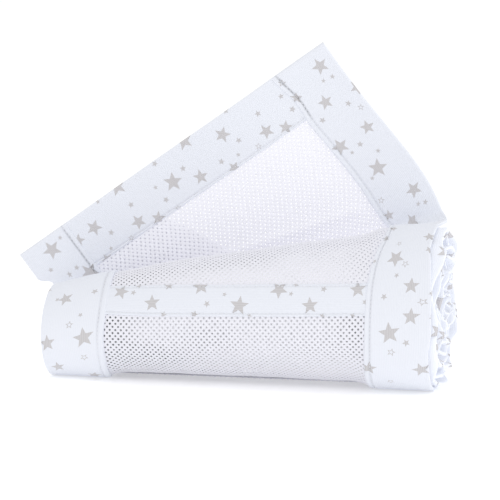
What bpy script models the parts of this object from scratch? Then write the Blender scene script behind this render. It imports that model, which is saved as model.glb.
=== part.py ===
"""A rolled mesh crib bumper whose free end is folded up behind the roll.

The roll lies along X and rests on z = 0. One strip of cloth comes up the roll's front, goes over its top,
hangs down behind it to a diagonal fold, and rises from that fold as a flat flap. Metres, +Z up.
A place on the strip is given by u, the distance across it from its middle, and by a stage along it.
"""

import math

import bpy
import numpy as np

# The strip and what is sewn to it
STRIP_WIDTH = 0.250
SIDE_BAND_WIDTH = 0.039
END_BAND_WIDTH = 0.035
CROSS_BAND_WIDTH = 0.022
BAND_THICKNESS = 0.003
MESH_THICKNESS = 0.002
SEAM_GAP = 0.0003

# The roll, thinner and tighter at its left end
ROLL_HEIGHT_LEFT = 0.0590
ROLL_HEIGHT_MIDDLE = 0.0850
ROLL_HEIGHT_RIGHT = 0.1013
ROLL_DEPTH_RATIO = 1.07
FLAT_SINK = 0.0015
ROLL_GAP = 0.0005
ROLL_WAVE = 0.0010
STIFF_BAND_PROUD = 0.0030
TURNS = 6
HUB_RADIUS_SHARE = 0.16
GROOVE_SHARE = 0.55
END_PROUD_LEFT = -0.0020
END_PROUD_RIGHT = 0.0038
END_GROOVE = 0.0030
END_RUFFLE = 0.0012
RUFFLES_PER_TURN = 5

# The cross band's upper edge on the roll's front
CROSS_TOP_HEIGHT_LEFT = 0.0600
CROSS_TOP_HEIGHT_RIGHT = 0.0712

# The diagonal fold and the flap
FLAP_LENGTH_RIGHT = 0.140
FOLD_ANGLE = math.radians(17.6)
FOLD_RIGHT_Y = 0.0480
FOLD_RIGHT_Z = 0.1005
FOLD_LEFT_Y = 0.0470
FOLD_LEG = 0.008
FLAP_LEAN_FORWARD = math.radians(6.0)
FLAP_WAVE = 0.0016
FLAP_BULGE = 0.0042
BULGE_LOW = 2.4

# The roll stands this far along X from the middle of the whole object's length and depth
ROLL_MIDDLE_X = 0.0144
ROLL_MIDDLE_Y = 0.0013

# Stages along the strip, from its free end to where it goes under the roll
TIP, END_SEAM, FOLD_START, FOLD_END, ROLL_TOP, CROSS_TOP, CROSS_BOTTOM, UNDER = range(8)
ROWS_IN_STAGE = {
    TIP: 2,
    END_SEAM: 6,
    FOLD_START: 8,
    FOLD_END: 3,
    ROLL_TOP: 9,
    CROSS_TOP: 3,
    CROSS_BOTTOM: 11,
}
SIDE_BAND_COLUMNS = 4
MESH_COLUMNS = 14
CORE_ANGLES = 40

HALF_WIDTH = STRIP_WIDTH / 2
MESH_EDGE = HALF_WIDTH - SIDE_BAND_WIDTH
SHEET_DEPTH = BAND_THICKNESS + ROLL_GAP
UNDER_ANGLE = math.radians(-89.3)
BOTTOM_ANGLE = math.radians(270)
SPIRAL_SETTLED = 0.33
STEP = 1e-4

COLOURS = {
    "band": (0.87, 0.89, 0.94, 1.0),
    "mesh": (0.93, 0.93, 0.94, 1.0),
    "roll": (0.90, 0.91, 0.94, 1.0),
}


def mix(a, b, share):
    return a + (b - a) * share


def smooth(low, high, value):
    """0 below low, 1 above high, and a soft step between them."""
    share = min(max((value - low) / (high - low), 0.0), 1.0)
    return share * share * (3 - 2 * share)


def unit(vector):
    return vector / np.linalg.norm(vector)


# ---------------------------------------------------------------- the roll's section


def roll_height(u):
    """The roll's height at u, by the curve through its left, middle and right heights."""
    share = u / HALF_WIDTH
    slope = (ROLL_HEIGHT_RIGHT - ROLL_HEIGHT_LEFT) / 2
    bend = (ROLL_HEIGHT_RIGHT + ROLL_HEIGHT_LEFT) / 2 - ROLL_HEIGHT_MIDDLE
    return ROLL_HEIGHT_MIDDLE + slope * share + bend * share * share


def section(u, inset):
    """Half depth, half height and centre height of the roll's oval, set in from its outer face."""
    half_height = (roll_height(u) + FLAT_SINK) / 2
    centre_height = half_height - FLAT_SINK
    return half_height * ROLL_DEPTH_RATIO - inset, half_height - inset, centre_height


def lump(u, angle):
    """How far the uneven roll stands proud of its oval."""
    shoulder = math.exp(-(((angle - math.radians(95)) / math.radians(38)) ** 2))
    off_floor = smooth(0.0, 0.3, (1 + math.sin(angle)) / 2)
    stiff_band = STIFF_BAND_PROUD * smooth(MESH_EDGE - 0.012, MESH_EDGE + 0.004, u) * shoulder
    sag = ROLL_WAVE * math.sin(2 * angle + 18 * u) * math.cos(24 * u + 0.6)
    return (stiff_band + sag) * off_floor


def roll_point(u, angle, inset):
    """A point of the roll's oval. Angle 0 is its front, 90 degrees its top and 180 its back."""
    half_depth, half_height, centre_height = section(u, inset)
    proud = lump(u, angle)
    y = -(half_depth + proud) * math.cos(angle)
    z = centre_height + (half_height + proud) * math.sin(angle)
    return np.array([u, y, max(z, inset)])


# ---------------------------------------------------------------- the fold and the flap


def fold_line():
    """The fold's right and left ends. The strip's width and the fold's angle fix how steeply it falls."""
    right = np.array([HALF_WIDTH, FOLD_RIGHT_Y, FOLD_RIGHT_Z])
    length = STRIP_WIDTH / math.cos(FOLD_ANGLE)
    shift = FOLD_RIGHT_Y - FOLD_LEFT_Y
    fall = math.sqrt(length**2 - STRIP_WIDTH**2 - shift**2)
    return right, np.array([-HALF_WIDTH, FOLD_LEFT_Y, FOLD_RIGHT_Z - fall])


FOLD_RIGHT, FOLD_LEFT = fold_line()


def flap_directions():
    """Unit vectors in the flap: along its end to the right, from the fold to its tip, and out of its face."""
    along_fold = unit(FOLD_RIGHT - FOLD_LEFT)
    up = unit(np.array([0, 0, 1.0]) - along_fold * along_fold[2])
    front = np.cross(along_fold, up) * -1
    if front[1] > 0:
        front = -front
    rise = math.cos(FLAP_LEAN_FORWARD) * up + math.sin(FLAP_LEAN_FORWARD) * front
    across = math.cos(FOLD_ANGLE) * along_fold + math.sin(FOLD_ANGLE) * rise
    to_tip = math.cos(FOLD_ANGLE) * rise - math.sin(FOLD_ANGLE) * along_fold
    return across, to_tip, np.cross(across, to_tip)


ACROSS, TO_TIP, FLAP_FACE = flap_directions()


def flap_length(u):
    return FLAP_LENGTH_RIGHT - (HALF_WIDTH - u) * math.tan(FOLD_ANGLE)


def fold_point(u):
    return mix(FOLD_LEFT, FOLD_RIGHT, u / STRIP_WIDTH + 0.5)


def flap_point(u, from_tip):
    """A point of the flap, which waves a little across its free end."""
    flat = fold_point(u) + TO_TIP * (flap_length(u) - from_tip)
    free = smooth(0.02, 0.10, flap_length(u) - from_tip)
    wave = math.sin(38 * u + 9 * from_tip) + 0.6 * math.sin(61 * u - 1.3)
    share = min(from_tip / (flap_length(u) - FOLD_LEG), 1.0)
    bulge = FLAP_BULGE * math.sin(math.pi * share**BULGE_LOW) * smooth(-MESH_EDGE / 2, HALF_WIDTH, u)
    return flat + FLAP_FACE * (FLAP_WAVE * free * wave) + ACROSS * bulge


def leave_angle(u, inset):
    """The angle at which the strip leaves the roll's top on its straight way to the fold."""
    half_depth, half_height, centre_height = section(u, inset)
    fold = fold_point(u)
    y = fold[1] / half_depth
    z = (fold[2] - centre_height) / half_height
    return math.pi - math.atan2(z, y) - math.acos(min(1.0, 1.0 / math.hypot(y, z)))


def round_corner(corner, first, last, share):
    """A soft corner between two straight runs, given by unit vectors that leave the corner."""
    half = math.acos(max(-1.0, min(1.0, float(first @ last)))) / 2
    radius = FOLD_LEG * math.tan(half)
    handle = 4 / 3 * math.tan((math.pi / 2 - half) / 2) * radius
    points = [corner + first * FOLD_LEG, corner + first * (FOLD_LEG - handle)]
    points += [corner + last * (FOLD_LEG - handle), corner + last * FOLD_LEG]
    rest = 1 - share
    weights = [rest**3, 3 * rest * rest * share, 3 * rest * share * share, share**3]
    return sum(w * p for w, p in zip(weights, points))


def cross_angle(u):
    """The angle of the cross band's upper edge on the roll. Beyond the mesh it stays the same."""
    within = max(-MESH_EDGE, min(MESH_EDGE, u))
    height = mix(CROSS_TOP_HEIGHT_LEFT, CROSS_TOP_HEIGHT_RIGHT, within / (2 * MESH_EDGE) + 0.5)
    half_height, centre_height = section(within, 0.0)[1:]
    return math.asin((height - centre_height) / half_height)


def roll_angle(u, stage, inset):
    """The angle round the roll of each stage from its top on."""
    upper = cross_angle(u)
    lower = upper - CROSS_BAND_WIDTH / section(u, inset)[1]
    stops = [leave_angle(u, inset), upper, lower, UNDER_ANGLE]
    at = min(int(stage - ROLL_TOP), 2)
    return mix(stops[at], stops[at + 1], stage - ROLL_TOP - at)


def strip_point(u, stage, inset):
    """A point of the strip's middle surface, which lies inset below the roll's outer face."""
    if stage <= END_SEAM:
        return flap_point(u, END_BAND_WIDTH * stage)
    if stage <= FOLD_START:
        return flap_point(u, mix(END_BAND_WIDTH, flap_length(u) - FOLD_LEG, stage - END_SEAM))
    if stage >= ROLL_TOP:
        return roll_point(u, roll_angle(u, stage, inset), inset)
    corner = fold_point(u)
    top = roll_point(u, leave_angle(u, inset), inset)
    to_roll = unit(top - corner)
    if stage <= FOLD_END:
        return round_corner(corner, TO_TIP, to_roll, stage - FOLD_START)
    return mix(corner + to_roll * FOLD_LEG, top, stage - FOLD_END)


def face_normal(u, stage, inset):
    """The unit vector out of the strip's printed face."""
    back, ahead = max(stage - STEP, TIP), min(stage + STEP, UNDER)
    along = strip_point(u, ahead, inset) - strip_point(u, back, inset)
    across = strip_point(u + STEP, stage, inset) - strip_point(u - STEP, stage, inset)
    return unit(np.cross(along, across))


# ---------------------------------------------------------------- meshes


def add_object(name, vertices, faces, colour, roughness):
    mesh = bpy.data.meshes.new(name)
    shift = np.array([ROLL_MIDDLE_X, ROLL_MIDDLE_Y, 0.0])
    mesh.from_pydata([tuple(v + shift) for v in vertices], [], faces)
    mesh.validate()
    mesh.shade_smooth()
    mesh.set_sharp_from_angle(angle=math.radians(40))
    material = bpy.data.materials.new(name)
    material.use_nodes = True
    shader = material.node_tree.nodes["Principled BSDF"]
    shader.inputs["Base Color"].default_value = colour
    shader.inputs["Roughness"].default_value = roughness
    mesh.materials.append(material)
    thing = bpy.data.objects.new(name, mesh)
    bpy.context.scene.collection.objects.link(thing)
    return thing


def strip_rows(first, last, trim_first=0.0, trim_last=0.0):
    """Stages from first to last, each with its own number of rows. A trim is a seam's gap, as a share."""
    rows = [float(first)]
    for start in range(first, last):
        count = ROWS_IN_STAGE[start]
        rows += [start + (i + 1) / count for i in range(count)]
    rows[0] += trim_first
    rows[-1] -= trim_last
    return rows


def across_columns(left, right, count):
    return [mix(left, right, i / count) for i in range(count + 1)]


def side_columns(side):
    """Places across a side band, from left to right."""
    ends = sorted((side * MESH_EDGE, side * HALF_WIDTH))
    return across_columns(*ends, SIDE_BAND_COLUMNS)


def mesh_columns():
    """Places across what lies between the side bands."""
    return across_columns(-MESH_EDGE + SEAM_GAP, MESH_EDGE - SEAM_GAP, MESH_COLUMNS)


def cloth_piece(name, columns, rows, thickness, inset, colour):
    """A closed sheet over the strip's middle surface."""
    outer, inner = [], []
    for stage in rows:
        for u in columns:
            middle = strip_point(u, stage, inset)
            half = face_normal(u, stage, inset) * (thickness / 2)
            outer.append(middle + half)
            inner.append(middle - half)
    wide, size = len(columns), len(outer)
    faces = []
    for row in range(len(rows) - 1):
        for column in range(wide - 1):
            a = row * wide + column
            b, c, d = a + 1, a + wide + 1, a + wide
            faces.append((a, d, c, b))
            faces.append((a + size, b + size, c + size, d + size))
    rim = list(range(wide))
    rim += [r * wide + wide - 1 for r in range(1, len(rows))]
    rim += [(len(rows) - 1) * wide + c for c in range(wide - 2, -1, -1)]
    rim += [r * wide for r in range(len(rows) - 2, 0, -1)]
    for a, b in zip(rim, rim[1:] + rim[:1]):
        faces.append((a, b, b + size, a + size))
    return add_object(name, outer + inner, faces, colour, 0.8)


def winding_point(u, turns):
    """A point of the winding at u. Its turns run from the bottom of the roll's back over the top."""
    angle = BOTTOM_ANGLE - 2 * math.pi * turns
    inset = SHEET_DEPTH * smooth(0.0, SPIRAL_SETTLED, turns)
    inwards = max(turns - 1, 0.0) / (TURNS - 1) * (1 - HUB_RADIUS_SHARE)
    centre = np.array([u, 0.0, section(u, 0.0)[2]])
    return mix(roll_point(u, angle, inset), centre, inwards)


def end_proud(turns, side):
    """How far the winding's cloth edge stands out of the strip's side, uneven from turn to turn."""
    proud = END_PROUD_RIGHT if side > 0 else END_PROUD_LEFT
    ruffle = math.sin(2 * math.pi * RUFFLES_PER_TURN * turns + 1.7 * side)
    drift = math.sin(2.3 * turns + side)
    return proud + END_RUFFLE * (ruffle + drift)


def add_winding_end(side, vertices, faces):
    """One end of the winding, a raised spiral edge with a groove. Returns its outer turn and the groove."""
    out = np.array([side, 0.0, 0.0])
    edge, groove = [], []
    for i in range(TURNS * CORE_ANGLES + 1):
        turns = i / CORE_ANGLES
        proud = end_proud(turns, side)
        line = winding_point(side * (HALF_WIDTH + proud), turns)
        edge.append(len(vertices))
        vertices.append(line)
        if turns <= TURNS - 1:
            next_line = winding_point(side * (HALF_WIDTH + proud), turns + 1)
            groove.append(len(vertices))
            vertices.append(mix(line, next_line, GROOVE_SHARE) - out * END_GROOVE)
    loops = []
    for i in range(len(groove) - 1):
        loops.append((edge[i], edge[i + 1], groove[i + 1], groove[i]))
        loops.append((groove[i], groove[i + 1], edge[i + 1 + CORE_ANGLES], edge[i + CORE_ANGLES]))
    hub = len(vertices)
    vertices.append(np.array([side * HALF_WIDTH, 0.0, section(side * HALF_WIDTH, 0.0)[2]]))
    rim = edge[-1 - CORE_ANGLES :] + [groove[-1]]
    loops += [(a, b, hub) for a, b in zip(rim, rim[1:] + rim[:1])]
    faces += loops if side > 0 else [loop[::-1] for loop in loops]
    return edge[: CORE_ANGLES + 1], groove[0]


def build_core():
    """The rolled inner length as one winding. Its outer face steps in where the loose end starts."""
    vertices, faces = [], []
    left, left_groove = add_winding_end(-1, vertices, faces)
    right, right_groove = add_winding_end(1, vertices, faces)
    rings = [left]
    for u in side_columns(-1)[1:] + mesh_columns()[1:-1] + side_columns(1)[:-1]:
        rings.append(list(range(len(vertices), len(vertices) + CORE_ANGLES + 1)))
        vertices += [winding_point(u, i / CORE_ANGLES) for i in range(CORE_ANGLES + 1)]
    rings.append(right)
    for a, b in zip(rings, rings[1:]):
        faces += [(a[i], a[i + 1], b[i + 1], b[i]) for i in range(CORE_ANGLES)]
    for a, b in zip(rings[1:-1], rings[2:-1]):
        faces.append((a[-1], a[0], b[0], b[-1]))
    first, last = rings[1], rings[-2]
    faces += [(first[0], first[-1], left_groove), (first[0], left_groove, left[0])]
    faces += [(first[-1], left[-1], left_groove)]
    faces += [(last[-1], last[0], right_groove), (last[0], right[0], right_groove)]
    faces += [(last[-1], right_groove, right[-1])]
    return add_object("roll_core", vertices, faces, COLOURS["roll"], 0.85)


def build_bands():
    whole = strip_rows(TIP, UNDER)
    inset = BAND_THICKNESS / 2
    for side, name in ((-1, "side_band_left"), (1, "side_band_right")):
        cloth_piece(name, side_columns(side), whole, BAND_THICKNESS, inset, COLOURS["band"])
    inner = mesh_columns()
    cross_trim = SEAM_GAP / CROSS_BAND_WIDTH
    end_rows = strip_rows(TIP, END_SEAM, trim_last=SEAM_GAP / END_BAND_WIDTH)
    cross_rows = strip_rows(CROSS_TOP, CROSS_BOTTOM, cross_trim, cross_trim)
    cloth_piece("end_band", inner, end_rows, BAND_THICKNESS, inset, COLOURS["band"])
    cloth_piece("cross_band", inner, cross_rows, BAND_THICKNESS, inset, COLOURS["band"])


def build_mesh_windows():
    inset = BAND_THICKNESS - MESH_THICKNESS / 2
    inner = mesh_columns()
    flap_rows = strip_rows(END_SEAM, CROSS_TOP)
    lower_rows = strip_rows(CROSS_BOTTOM, UNDER)
    cloth_piece("mesh_window_flap", inner, flap_rows, MESH_THICKNESS, inset, COLOURS["mesh"])
    cloth_piece("mesh_window_lower", inner, lower_rows, MESH_THICKNESS, inset, COLOURS["mesh"])


def main():
    for thing in list(bpy.data.objects):
        bpy.data.objects.remove(thing)
    build_core()
    build_bands()
    build_mesh_windows()


main()
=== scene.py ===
"""The looks of a rolled mesh crib bumper: real net, printed cotton bands, hems, stitches and the wound ends.

Every piece of cloth is laid on one strip surface, given by u, the distance across the strip from its middle,
and w, the distance along it from its free end. Lengths are metres unless a name says mm.
"""

import math

import bpy
import numpy as np
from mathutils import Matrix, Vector, geometry


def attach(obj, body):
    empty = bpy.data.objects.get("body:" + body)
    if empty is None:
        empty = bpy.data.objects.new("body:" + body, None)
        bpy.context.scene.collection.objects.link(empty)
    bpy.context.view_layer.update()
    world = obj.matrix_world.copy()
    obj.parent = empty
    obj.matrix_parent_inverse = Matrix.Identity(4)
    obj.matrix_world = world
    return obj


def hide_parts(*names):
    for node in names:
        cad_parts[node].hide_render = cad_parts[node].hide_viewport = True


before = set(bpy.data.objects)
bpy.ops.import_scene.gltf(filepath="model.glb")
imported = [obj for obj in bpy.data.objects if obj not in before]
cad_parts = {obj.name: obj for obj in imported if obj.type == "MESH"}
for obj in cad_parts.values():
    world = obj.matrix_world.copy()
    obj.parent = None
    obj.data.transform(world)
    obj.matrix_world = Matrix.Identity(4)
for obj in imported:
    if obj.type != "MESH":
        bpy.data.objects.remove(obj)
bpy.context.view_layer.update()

# ---------------- the strip, as in the part's source

STRIP_WIDTH = 0.250
HALF_WIDTH = STRIP_WIDTH / 2
SIDE_BAND_WIDTH = 0.039
MESH_EDGE = HALF_WIDTH - SIDE_BAND_WIDTH
END_BAND_WIDTH = 0.035
CROSS_BAND_WIDTH = 0.022
BAND_THICKNESS = 0.003

ROLL_HEIGHTS = (0.0590, 0.0850, 0.1013)
ROLL_DEPTH_RATIO = 1.07
FLAT_SINK = 0.0015
ROLL_WAVE = 0.0010
STIFF_BAND_PROUD = 0.0030
SHEET_DEPTH = 0.0035
TURNS = 9
HUB_RADIUS_SHARE = 0.12
SPIRAL_SETTLED = 0.33
END_PROUD = {-1: -0.0020, 1: 0.0045}
END_RUFFLE = {-1: 0.0010, 1: 0.0017}

CROSS_TOP_HEIGHTS = (0.0600, 0.0712)
FLAP_LENGTH_RIGHT = 0.140
FOLD_ANGLE = math.radians(17.6)
FOLD_RIGHT = np.array([HALF_WIDTH, 0.0480, 0.1005])
FOLD_LEFT_Y = 0.0470
FOLD_LEG = 0.008
FLAP_LEAN_FORWARD = math.radians(6.0)
FLAP_WAVE = 0.0016
FLAP_BULGE = 0.0042
BULGE_LOW = 2.4
ROLL_MIDDLE = np.array([0.0144, 0.0013, 0.0])

# The stages along the strip, from its free end to where it goes under the roll.
TIP, END_SEAM, FOLD_START, FOLD_END, ROLL_TOP, CROSS_TOP, CROSS_BOTTOM, UNDER = range(8)
UNDER_ANGLE = math.radians(-89.3)
CLOTH_INSET = BAND_THICKNESS / 2
CROSS_AT = 0.203  # from the free end to the upper edge of the solid cross band
CROSS_SHIFTS = (-0.0034, -0.0020)  # how far along from there the printed one lies, at its left and right
CROSS_WIDTH = 0.0207


def mix(a, b, share):
    return a + (b - a) * share


def smooth(low, high, value):
    """From 0 at low to 1 at high, which may be the lesser of the two."""
    share = np.clip((value - low) / (high - low), 0.0, 1.0)
    return share * share * (3 - 2 * share)


def unit(vector):
    return vector / np.linalg.norm(vector, axis=-1, keepdims=True)


def spread(vector, amount):
    """A fixed direction times an array of amounts."""
    return np.asarray(amount)[..., None] * vector


def roll_height(u):
    """The roll's height at u: it is a slight cone."""
    left, middle, right = ROLL_HEIGHTS
    share = u / HALF_WIDTH
    return middle + (right - left) / 2 * share + ((right + left) / 2 - middle) * share * share


def section(u, inset):
    """The roll's half depth, half height and the height of its middle, that much inside its surface."""
    half_height = (roll_height(u) + FLAT_SINK) / 2
    return half_height * ROLL_DEPTH_RATIO - inset, half_height - inset, half_height - FLAT_SINK


SHOULDER_AT, SHOULDER_SPREAD = math.radians(95), math.radians(38)
CLEAR_OF_FLOOR = 0.3  # share of the roll's height


def lump(u, angle):
    """How far the roll stands out of its plain form: over the stiff right band, and in soft waves."""
    shoulder = np.exp(-(((angle - SHOULDER_AT) / SHOULDER_SPREAD) ** 2))
    off_floor = smooth(0.0, CLEAR_OF_FLOOR, (1 + np.sin(angle)) / 2)
    stiff_band = STIFF_BAND_PROUD * smooth(MESH_EDGE - 0.012, MESH_EDGE + 0.004, u) * shoulder
    sag = ROLL_WAVE * np.sin(2 * angle + 18 * u) * np.cos(24 * u + 0.6)
    return (stiff_band + sag) * off_floor


def roll_point(u, angle, inset):
    """A point of the roll at an angle up from its front, that much inside its surface."""
    half_depth, half_height, centre_height = section(u, inset)
    proud = lump(u, angle)
    y = -(half_depth + proud) * np.cos(angle)
    z = centre_height + (half_height + proud) * np.sin(angle)
    return np.stack([u + 0 * y, y, np.maximum(z, inset)], -1)


def left_fold_end():
    """The fold's left end, so that the fold is as long as the cloth's diagonal."""
    length = STRIP_WIDTH / math.cos(FOLD_ANGLE)
    shift = FOLD_RIGHT[1] - FOLD_LEFT_Y
    fall = math.sqrt(length**2 - STRIP_WIDTH**2 - shift**2)
    return np.array([-HALF_WIDTH, FOLD_LEFT_Y, FOLD_RIGHT[2] - fall])


def flap_directions():
    """The directions across the flap, to its free end, and out of its face."""
    along_fold = unit(FOLD_RIGHT - FOLD_LEFT)
    up = unit(np.array([0, 0, 1.0]) - along_fold * along_fold[2])
    front = np.cross(along_fold, up)
    front = front if front[1] < 0 else -front
    rise = math.cos(FLAP_LEAN_FORWARD) * up + math.sin(FLAP_LEAN_FORWARD) * front
    across = math.cos(FOLD_ANGLE) * along_fold + math.sin(FOLD_ANGLE) * rise
    to_tip = math.cos(FOLD_ANGLE) * rise - math.sin(FOLD_ANGLE) * along_fold
    return across, to_tip, np.cross(across, to_tip)


FOLD_LEFT = left_fold_end()
ACROSS, TO_TIP, FLAP_FACE = flap_directions()


def flap_length(u):
    """How far the flap's free end is from the fold, at u."""
    return FLAP_LENGTH_RIGHT - (HALF_WIDTH - u) * math.tan(FOLD_ANGLE)


def fold_point(u):
    return FOLD_LEFT + spread(FOLD_RIGHT - FOLD_LEFT, u / STRIP_WIDTH + 0.5)


def flap_point(u, from_tip):
    """A point of the raised flap, with its soft waves and the bulge of its right edge."""
    up = flap_length(u) - from_tip
    flat = fold_point(u) + spread(TO_TIP, up)
    free = smooth(0.02, 0.10, up)
    wave = np.sin(38 * u + 9 * from_tip) + 0.6 * np.sin(61 * u - 1.3)
    share = np.clip(from_tip / (flap_length(u) - FOLD_LEG), 0.0, 1.0)
    bulge = FLAP_BULGE * np.sin(math.pi * share**BULGE_LOW) * smooth(-MESH_EDGE / 2, HALF_WIDTH, u)
    return flat + spread(FLAP_FACE, FLAP_WAVE * free * wave) + spread(ACROSS, bulge)


def leave_angle(u, inset):
    """Where the strip leaves the roll for the fold: the tangent's angle."""
    half_depth, half_height, centre_height = section(u, inset)
    fold = fold_point(u)
    y = fold[..., 1] / half_depth
    z = (fold[..., 2] - centre_height) / half_height
    return math.pi - np.arctan2(z, y) - np.arccos(np.minimum(1.0, 1.0 / np.hypot(y, z)))


def round_corner(corner, first, last, share):
    """A point of the rounded fold between two directions away from its corner."""
    cosine = np.clip((first * last).sum(-1), -1.0, 1.0)
    half = np.arccos(cosine) / 2
    handle = 4 / 3 * np.tan((math.pi / 2 - half) / 2) * FOLD_LEG * np.tan(half)
    a = corner + first * FOLD_LEG
    b = corner + first * (FOLD_LEG - handle)[..., None]
    c = corner + last * (FOLD_LEG - handle)[..., None]
    d = corner + last * FOLD_LEG
    t = share[..., None]
    return (1 - t) ** 3 * a + 3 * (1 - t) ** 2 * t * b + 3 * (1 - t) * t**2 * c + t**3 * d


def window_share(u):
    """From 0 to 1 across the window between the side bands, left to right."""
    return np.clip(u / (2 * MESH_EDGE) + 0.5, 0.0, 1.0)


def cross_angle(u):
    """The angle on the roll of the cross band's upper edge."""
    height = mix(*CROSS_TOP_HEIGHTS, window_share(u))
    half_height, centre_height = section(np.clip(u, -MESH_EDGE, MESH_EDGE), 0.0)[1:]
    return np.arcsin((height - centre_height) / half_height)


def roll_angle(u, stage, inset):
    """The angle on the roll at a stage from the roll's top on."""
    upper = cross_angle(u)
    lower = upper - CROSS_BAND_WIDTH / section(u, inset)[1]
    stops = [leave_angle(u, inset), upper, lower, UNDER_ANGLE + 0 * u]
    at = np.clip(stage - ROLL_TOP, 0.0, 3.0)
    return sum((stops[i + 1] - stops[i]) * np.clip(at - i, 0.0, 1.0) for i in range(3)) + stops[0]


def strip_point(u, stage, inset=CLOTH_INSET):
    """A point of the strip's middle surface at u and that stage, both arrays of one shape."""
    u, stage = np.broadcast_arrays(np.asarray(u, float), np.asarray(stage, float))
    flap_end = flap_length(u) - FOLD_LEG
    from_tip = END_BAND_WIDTH * np.minimum(stage, END_SEAM)
    from_tip = from_tip + (flap_end - END_BAND_WIDTH) * np.clip(stage - END_SEAM, 0.0, 1.0)
    flap = flap_point(u, from_tip)
    corner = fold_point(u)
    top = roll_point(u, leave_angle(u, inset), inset)
    to_roll = unit(top - corner)
    tip_side = np.broadcast_to(TO_TIP, corner.shape)
    bend = round_corner(corner, tip_side, to_roll, np.clip(stage - FOLD_START, 0.0, 1.0))
    start = corner + to_roll * FOLD_LEG
    hidden = mix(start, top, np.clip(stage - FOLD_END, 0.0, 1.0)[..., None])
    roll = roll_point(u, roll_angle(u, stage, inset), inset)
    point = np.where((stage <= FOLD_START)[..., None], flap, bend)
    point = np.where((stage > FOLD_END)[..., None], hidden, point)
    return np.where((stage >= ROLL_TOP)[..., None], roll, point) + ROLL_MIDDLE


def wound_in(turns):
    """How much of the way to the roll's middle the wound length has come after those turns."""
    return np.maximum(turns - 1, 0.0) / (TURNS - 1) * (1 - HUB_RADIUS_SHARE)


def wound_point(u, turns, inset=CLOTH_INSET):
    """A point of the wound length, which runs on from under the roll, up its back and round inwards."""
    u, turns = np.broadcast_arrays(np.asarray(u, float), np.asarray(turns, float))
    angle = math.radians(270) - 2 * math.pi * turns
    depth = inset + SHEET_DEPTH * smooth(0.0, SPIRAL_SETTLED, turns)
    centre = np.stack([u, 0 * u, section(u, 0.0)[2]], -1)
    return mix(roll_point(u, angle, depth), centre, wound_in(turns)[..., None]) + ROLL_MIDDLE


# ---------------- places on the strip by u and w

GRID_COLUMNS = 101
GRID_ROWS = 900
GRID_EDGE = HALF_WIDTH + 0.004
STAGE_STEPS = 120
LOOSE_LENGTH = 0.320


def strip_tables():
    """The loose length's points and outward normals on an even grid of u and w, with the stage of each."""
    u = np.linspace(-GRID_EDGE, GRID_EDGE, GRID_COLUMNS)
    stages = np.concatenate([np.linspace(s, s + 1, STAGE_STEPS + 1)[:-1] for s in range(UNDER)] + [[UNDER]])
    points = strip_point(u[:, None], stages[None, :])
    steps = np.linalg.norm(np.diff(points, axis=1), axis=2)
    run = np.concatenate([np.zeros((len(u), 1)), np.cumsum(steps, axis=1)], axis=1)
    fold, top, cross = (np.searchsorted(stages, s) for s in (FOLD_START, ROLL_TOP, CROSS_TOP))
    along = CROSS_AT + run - run[:, [cross]]
    share = (run - run[:, [fold]]) / (run[:, [top]] - run[:, [fold]])
    hidden = mix(run[:, [fold]], along[:, [top]], share)
    along[:, :top] = np.where(np.arange(top) <= fold, run[:, :top], hidden[:, :top])
    w = np.linspace(0.0, LOOSE_LENGTH, GRID_ROWS)
    stage = np.array([np.interp(w, along[i], stages) for i in range(len(u))])
    overrun = np.array([np.maximum(w - along[i, -1], 0.0) for i in range(len(u))])
    at_under = strip_point(u, UNDER + 0 * u)
    middle = section(u, 0.0)[1]
    past = wound_point(u[:, None], overrun / (2 * math.pi * middle[:, None]))
    past = past + (at_under - wound_point(u, 0 * u))[:, None]
    table = np.where((overrun > 0)[..., None], past, strip_point(u[:, None], stage))
    down = np.gradient(table, axis=1)
    across = np.gradient(table, axis=0)
    return table, unit(np.cross(down, across)), stage + overrun


POINTS, NORMALS, STAGES = strip_tables()


def looked_up(table, u, w):
    """Values of a table between its grid places."""
    a = np.clip((u + GRID_EDGE) / (2 * GRID_EDGE) * (GRID_COLUMNS - 1), 0, GRID_COLUMNS - 1.001)
    b = np.clip(w / LOOSE_LENGTH * (GRID_ROWS - 1), 0, GRID_ROWS - 1.001)
    i, j = a.astype(int), b.astype(int)
    extra = (None,) * (table.ndim - 2)
    s, t = (a - i)[(...,) + extra], (b - j)[(...,) + extra]
    low = mix(table[i, j], table[i + 1, j], s)
    high = mix(table[i, j + 1], table[i + 1, j + 1], s)
    return mix(low, high, t)


FOOT_RIDGE = 0.0013
FOOT_RIDGE_UP = (0.0090, 0.0150)  # how far above the flap's foot the ridge lies, at its left and right
FOOT_RIDGE_HALF = 0.0036


def foot_ridge(u, w):
    """The soft ridge of the flap's net along its foot, metres out of its surface."""
    up = flap_length(u) - FOLD_LEG - w - mix(*FOOT_RIDGE_UP, window_share(u))
    across = smooth(-0.055, -0.010, u) * smooth(MESH_EDGE, MESH_EDGE - 0.012, u)
    return FOOT_RIDGE * across * np.exp(-((up / FOOT_RIDGE_HALF) ** 2))


CREASE_BROAD, CREASE_FINE = 0.00035, 0.00012


def creases(u, w):
    """Soft unevenness of the cloth, metres out of its surface."""
    broad = CREASE_BROAD * np.sin(70 * u + 31 * w + 1.1) * np.sin(52 * w - 23 * u + 0.4)
    fine = CREASE_FINE * np.sin(190 * u - 60 * w) * np.sin(160 * w + 90 * u + 2.0)
    return broad + fine + foot_ridge(u, w)


FOOT_TUCK = 0.0068
FOOT_FROM, FOOT_TO = 0.0205, 0.0275
NET_SINK = 0.0030


def tucked(u, w):
    """u with the flap's lower left edge turned in, where it comes down to the roll."""
    at_edge = smooth(-0.098, -HALF_WIDTH, u)
    return u + FOOT_TUCK * at_edge * smooth(FOOT_FROM, FOOT_TO, w) * (1 - smooth(0.050, 0.110, w))


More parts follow.
